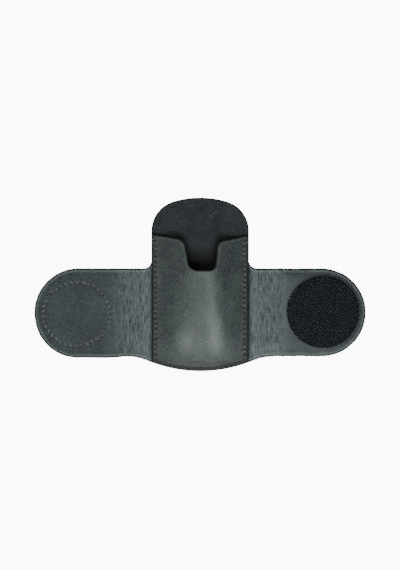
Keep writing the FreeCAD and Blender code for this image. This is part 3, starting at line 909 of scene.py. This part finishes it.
def pocket_middle(x, y):
    """The height of the pocket leather's middle: a flat sewn border round a moulded bulge."""
    down = np.clip((10 - y) / 59.5, 0, 1.1)
    up = np.clip((y - 10) / 30, 0, 1)
    height = BULGE_HEIGHT * (1 - 0.83 * down ** 3.3 - 0.10 * up ** 1.5) - POCKET_LEATHER
    half = BULGE_HALF * (1 - 0.20 * down ** 4)
    u = np.clip(np.abs(x - 0.4) / half, 0, 1)
    arch = (1 - u ** 2.3) ** 1.45
    low = smooth((-8 - y) / 26) * (1 - smooth((-44 - y) / 8))
    valley = 0.9 * hump((x + 0.5) / 5.5) * low
    ridges = 0.45 * (1.2 * hump((x - 9.5) / 5.0) + hump((x + 10.5) / 5.5)) * low
    side_dip = 0.5 * hump((x - 18.5) / 4.5) * smooth((y + 30) / 25)
    bulge = np.maximum(height, 0) * arch + (ridges - valley - side_dip) * smooth((1 - u) / 0.4)
    foot = 1 - smooth((-46.0 - y) / 5.5)
    return LEATHER + POCKET_LEATHER / 2 + np.maximum(bulge, 0) * foot


def build_pocket():
    outline = pocket_outline()
    tracks = [evenly(seam_line(grow), 0.6, closed=False) for grow in (-1.3, -0.5, 0.5, 1.2)]
    tracks = [t[(t[:, 1] < POCKET_TOP - 1.9)] for t in tracks]
    sheet = Sheet(outline, POCKET_LEATHER, pocket_middle, lines=tracks, step=1.05)
    x, y = sheet.points.T
    holes = dents(sheet.points, seam_holes(), 1.15)
    seam = distance_to(sheet.points, seam_line(), closed=False)
    channel = hump(seam / 0.85)
    waves = 0.10 * wobble(x, y, 0.09, 5.5) + 0.05 * wobble(x, y, 0.25, 2.2)
    crease = hump((sheet.depth - 1.25) / 0.3)
    front = waves * smooth((sheet.depth - 1) / 3) - 0.20 * channel - 0.45 * holes - 0.05 * crease
    sheet.shape(front, -0.05 * channel)

    # Partly wear and partly painted highlight: the crest down the right of the bulge, the paler middle below
    # the notch, the patch low on the left and the rim of the notch; the crease line is a painted highlight
    # along its dent.
    crest_x = 7.2 + 0.08 * np.maximum(2 - y, 0)
    side = np.where(x < crest_x, 4.6, 2.4 + 2.4 * smooth((-14 - y) / 14))
    crest_y = (-50, -43, -35, -27, -16, -5, 6, 10)
    crest = np.interp(y, crest_y, (0.03, 0.19, 0.33, 0.31, 0.21, 0.17, 0.10, 0.0))
    broad = 0.155 * hump((x - 0.5) / 13) * smooth((11 - y) / 9) * (1 - 0.8 * smooth((-38 - y) / 10))
    blob = np.exp(-np.square((x + 10.6) / 5.5) - np.square((y + 35.5) / 8.5))
    notch_rim = hump((sheet.depth - 2.4) / 2.2) * hump((x - 1.5) / 9) * hump((y - 7.5) / 6)
    rub_and_highlight = 0.10 + broad + crest * hump((x - crest_x) / side) + 0.22 * blob + 0.12 * notch_rim + 0.12 * crease
    rub_and_highlight += 0.04 * smooth((-30 - y) / 15)
    # the band between the seam and the outline is darkened: burnished edge and painted shade
    border = distance_to(sheet.points, seam_line(SEAM_INSET), closed=False)
    edge = np.maximum(smooth((1.0 - sheet.depth) / 0.6), 0.62 * smooth((2.6 - border) / 1.6))
    plain = np.zeros(len(x))
    marks = {
        "rub_and_highlight": (rub_and_highlight, plain), "bend": (plain, plain), "edge": (edge, edge),
        "press_and_shade": (np.clip(0.95 * holes + 0.34 * channel, 0, 1), plain + 0.6)}
    everything = np.ones(len(sheet.faces), bool)
    made = finish_piece(sheet.piece("pocket_leather", everything, marks), MOULDED_LEATHER,
                        ["pocket_front"])
    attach(made, "pocket")


build_pocket()


# ---- stitches

def build_stitches():
    holes = seam_holes()
    top = LEATHER + POCKET_LEATHER
    rows = [
        ("pocket_seam_needle_thread", holes[:-1], holes[1:], top - 0.22, 1, DARK_THREAD, "thread", "pocket"),
        ("pocket_seam_bobbin_thread", holes[:-1], holes[1:], 0.6, -1, DARK_THREAD, "thread", "pocket"),
        ("loop_ring_needle_thread", LOOP_RING.starts, LOOP_RING.stops, LEATHER + LIFT - 0.12, 1,
         GREY_THREAD, "thread", "left_wing"),
        ("loop_ring_bobbin_thread", LOOP_RING.starts, LOOP_RING.stops, LOOP_LOW[2] + 0.1, -1,
         DARK_THREAD, "thread", "left_wing"),
        ("hook_ring_needle_thread", HOOK_RING.starts, HOOK_RING.stops, HOOK_HIGH[2] - 0.15, 1,
         BLACK_THREAD, "black_thread", "right_wing"),
        ("hook_ring_bobbin_thread", HOOK_RING.starts, HOOK_RING.stops, 0.6, -1, BLACK_THREAD,
         "black_thread", "right_wing")]
    for name, starts, stops, surface, side, material, slot, body in rows:
        tuck, bow = (0.75, 0.08) if "seam" in name else (0.2, 0.2)
        made = stitches(name + "_plies", starts, stops, surface, side, tuck, bow)
        finish_piece(made, material, [name])
        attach(made, body)


build_stitches()


# ---- hook and loop patches

def disc(centre, radius, bottom, top, ragged, seed):
    """A round piece of tape with a slightly frayed, softened edge."""
    around, rings = 140, 12
    angles = np.linspace(0, 2 * math.pi, around, endpoint=False)
    fray = 1 + ragged * wobble(7 * np.cos(angles), 7 * np.sin(angles), 1.0, seed)
    vertices, faces = [], []
    thick = top - bottom
    profile = [(radius * k / rings, top) for k in range(1, rings)]
    profile += [(radius - 0.12, top - 0.04 * thick), (radius, top - 0.3 * thick)]
    profile += [(radius, bottom + 0.3 * thick), (radius - 0.12, bottom)]
    profile += [(radius * k / rings, bottom) for k in range(rings - 1, 0, -1)]
    for r, z in profile:
        for angle, swing in zip(angles, fray):
            reach = r * (swing if r > radius * 0.95 else 1)
            vertices.append((centre[0] + reach * math.cos(angle), centre[1] + reach * math.sin(angle), z))
    for i in range(len(profile) - 1):
        for k in range(around):
            a, b = i * around + k, i * around + (k + 1) % around
            faces.append((a, a + around, b + around, b))
    last = (len(profile) - 1) * around
    vertices += [(centre[0], centre[1], top), (centre[0], centre[1], bottom)]
    top_middle, bottom_middle = len(vertices) - 2, len(vertices) - 1
    faces += [(top_middle, k, (k + 1) % around) for k in range(around)]
    faces += [(bottom_middle, last + (k + 1) % around, last + k) for k in range(around)]
    return vertices, faces


def tube(line, sizes, around=5):
    """A closed tube along a line of points that bends in one plane."""
    line = np.asarray(line, float)
    ahead = np.gradient(line, axis=0)
    ahead /= np.linalg.norm(ahead, axis=1)[:, None]
    plane = np.cross(line[0] - line[len(line) // 2], line[-1] - line[len(line) // 2])
    plane = plane / max(np.linalg.norm(plane), 1e-9)
    vertices = tube_points(line, sizes, plane, np.cross(ahead, plane), around)
    return vertices, tube_faces(0, len(line), around)


def lattice(centre, radius, pitch_across, pitch_along, tilt, ring, clear):
    """Places in slanted rows over a disc, clear of the ring of stitches."""
    count = math.ceil(radius / min(pitch_across, pitch_along)) + 1
    turn = math.radians(tilt)
    places = []
    for i in range(-count, count + 1):
        for j in range(-count, count + 1):
            u, v = i * pitch_across, (j + 0.5 * (i % 2)) * pitch_along
            x, y = u * math.cos(turn) - v * math.sin(turn), u * math.sin(turn) + v * math.cos(turn)
            reach = math.hypot(x, y)
            if reach < radius and abs(ring.gap(centre[0] + x, centre[1] + y)) > clear:
                places.append((centre[0] + x, centre[1] + y, i))
    return places


# the bent end of a hook in shares of its reach and height, and half the yarn's thickness from foot to tip
HOOK_SHAPE = [(0.35, 1.0), (0.75, 0.97), (1.0, 0.74), (0.94, 0.5)]
HOOK_YARN = (0.20, 0.17, 0.17, 0.17, 0.16, 0.14, 0.09)
EDGE_HOOKS = 124


def build_hook_patch():
    flat = disc(HOOK_CENTRE, PATCH_RADIUS - 0.5, HOOK_LOW[2], HOOK_HIGH[2], 0.007, 2.0)
    tape = solid_object("hook_tape", [flat])
    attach(finish_piece(tape, TAPE, ["hook_patch_tape"]), "right_wing")
    rng = np.random.default_rng(7)
    foot, tall = HOOK_HIGH[2] - 0.08, HOOKS_HIGH[2] - HOOK_HIGH[2] - 0.14
    parts = []
    rows = [(x, y, math.radians(-28 + 180 * (i % 2)) + rng.normal(0, 0.3))
            for x, y, i in lattice(HOOK_CENTRE, PATCH_RADIUS - 1.3, 1.35, 1.5, 60, HOOK_RING, 0.42)]
    for around in np.arange(0, 2 * math.pi, 2 * math.pi / EDGE_HOOKS):
        inward = rng.uniform(0.55, 1.1)
        place = HOOK_CENTRE[:2] + (PATCH_RADIUS - inward) * np.array((math.cos(around), math.sin(around)))
        rows.append((*place, around + rng.normal(0, 0.8)))
    for x, y, angle in rows:
        lean = rng.normal(0, 0.06)
        ahead = np.array((math.cos(angle), math.sin(angle)))
        reach, height = 0.95 * rng.uniform(0.8, 1.15), tall * rng.uniform(0.84, 1.0)
        shape = [(0.0, 0.0), (lean, 0.45), (0.06 + lean, 0.78), *HOOK_SHAPE]
        line = [(x + ahead[0] * s * reach, y + ahead[1] * s * reach, foot + h * height) for s, h in shape]
        parts.append(tube(line, HOOK_YARN))
    hooks = solid_object("hook_rows", parts)
    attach(finish_piece(hooks, HOOK_NYLON, ["hook_field"]), "right_wing")


def build_loop_patch():
    flat = disc(LOOP_CENTRE, PATCH_RADIUS, LOOP_LOW[2], LOOP_HIGH[2], 0.004, 5.0)
    tape = solid_object("loop_tape", [flat])
    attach(finish_piece(tape, TAPE, ["loop_patch_tape"]), "left_wing")
    rng = np.random.default_rng(11)
    foot, tall = LOOP_LOW[2] + 0.08, LOOP_LOW[2] - LOOPS_LOW[2] - 0.16
    parts = []
    for x, y, _ in lattice(LOOP_CENTRE, PATCH_RADIUS - 0.7, 0.95, 1.15, 8, LOOP_RING, 0.6):
        angle = rng.uniform(0, 2 * math.pi)
        ahead = np.array((math.cos(angle), math.sin(angle)))
        sway = np.array((-ahead[1], ahead[0])) * rng.normal(0, 0.25)
        wide, height = rng.uniform(0.55, 0.95), tall * rng.uniform(0.6, 1.0)
        line = []
        for t in np.linspace(0, 1, 8):
            s = -math.cos(math.pi * t) * (1 + 0.5 * math.sin(math.pi * t)) * wide / 2
            h = math.sin(math.pi * t) ** 0.8
            line.append((x + ahead[0] * s + sway[0] * h, y + ahead[1] * s + sway[1] * h, foot - h * height))
        parts.append(tube(line, [0.075] * 8, around=4))
    loops = solid_object("loop_pile", parts)
    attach(finish_piece(loops, LOOP_NYLON, ["loop_field"]), "left_wing")


build_hook_patch()
build_loop_patch()


# ---- floor, light and camera

def build_stage():
    """A floor well below the wings and every view, and a world as bright where the camera looks past it.

    The floor lights nothing: the light from below comes from the world, weaker than a white table's."""
    side, drop = 12.0, 1.5
    glow_above, glow_below, backdrop_strength = 0.35, 1.1, 10.6
    corners = [(-side, -side, 0), (side, -side, 0), (side, side, 0), (-side, side, 0)]
    mesh = bpy.data.meshes.new("floor")
    mesh.from_pydata(corners, [], [(0, 1, 2, 3)])
    floor = new_object("floor", mesh)
    floor.location.z = -drop
    floor.visible_diffuse = False
    floor.visible_glossy = False
    mesh.materials.append(floor_material())
    world = bpy.data.worlds.new("studio")
    world.use_nodes = True
    tree = world.node_tree
    direction = make(tree, "ShaderNodeTexCoord").outputs["Generated"]
    upward = make(tree, "ShaderNodeSeparateXYZ", {0: direction}).outputs["Z"]
    glow = tree.nodes["Background"]
    glow.inputs["Color"].default_value = (1.0, 1.0, 1.0, 1)
    tree.links.new(spread(tree, upward, -0.2, 0.1, glow_below, glow_above), glow.inputs["Strength"])
    pale = {"Color": (1.0, 1.0, 1.0, 1), "Strength": backdrop_strength}
    backdrop = make(tree, "ShaderNodeBackground", pale)
    seen = make(tree, "ShaderNodeLightPath").outputs["Is Camera Ray"]
    both = make(tree, "ShaderNodeMixShader", {0: seen, 1: glow.outputs[0], 2: backdrop.outputs[0]})
    tree.links.new(both.outputs[0], tree.nodes["World Output"].inputs["Surface"])
    bpy.context.scene.world = world


def soft_light(name, place, size, power):
    """A square area light aimed at the middle of the grip."""
    light = bpy.data.lights.new(name, "AREA")
    light.shape = "SQUARE"
    light.size = size
    light.energy = power
    lamp = new_object(name, light)
    lamp.location = place
    lamp.rotation_mode = "QUATERNION"
    lamp.rotation_quaternion = (-Vector(place)).to_track_quat("-Z", "Y")


def build_camera():
    lens, sensor, view_height = 120.0, 36.0, 0.3705
    camera = bpy.data.cameras.new("camera")
    camera.lens = lens
    camera.sensor_width = sensor
    placed = new_object("camera", camera)
    distance = view_height * lens / sensor
    placed.location = (-0.0001, -0.0004, distance)
    camera.clip_start, camera.clip_end = 0.01, 20.0
    bpy.context.scene.camera = placed


build_stage()
soft_light("key", (0.12, -0.8, 1.15), 0.7, 26.0)
soft_light("fill", (-0.9, 0.5, 1.0), 0.9, 7.0)
build_camera()
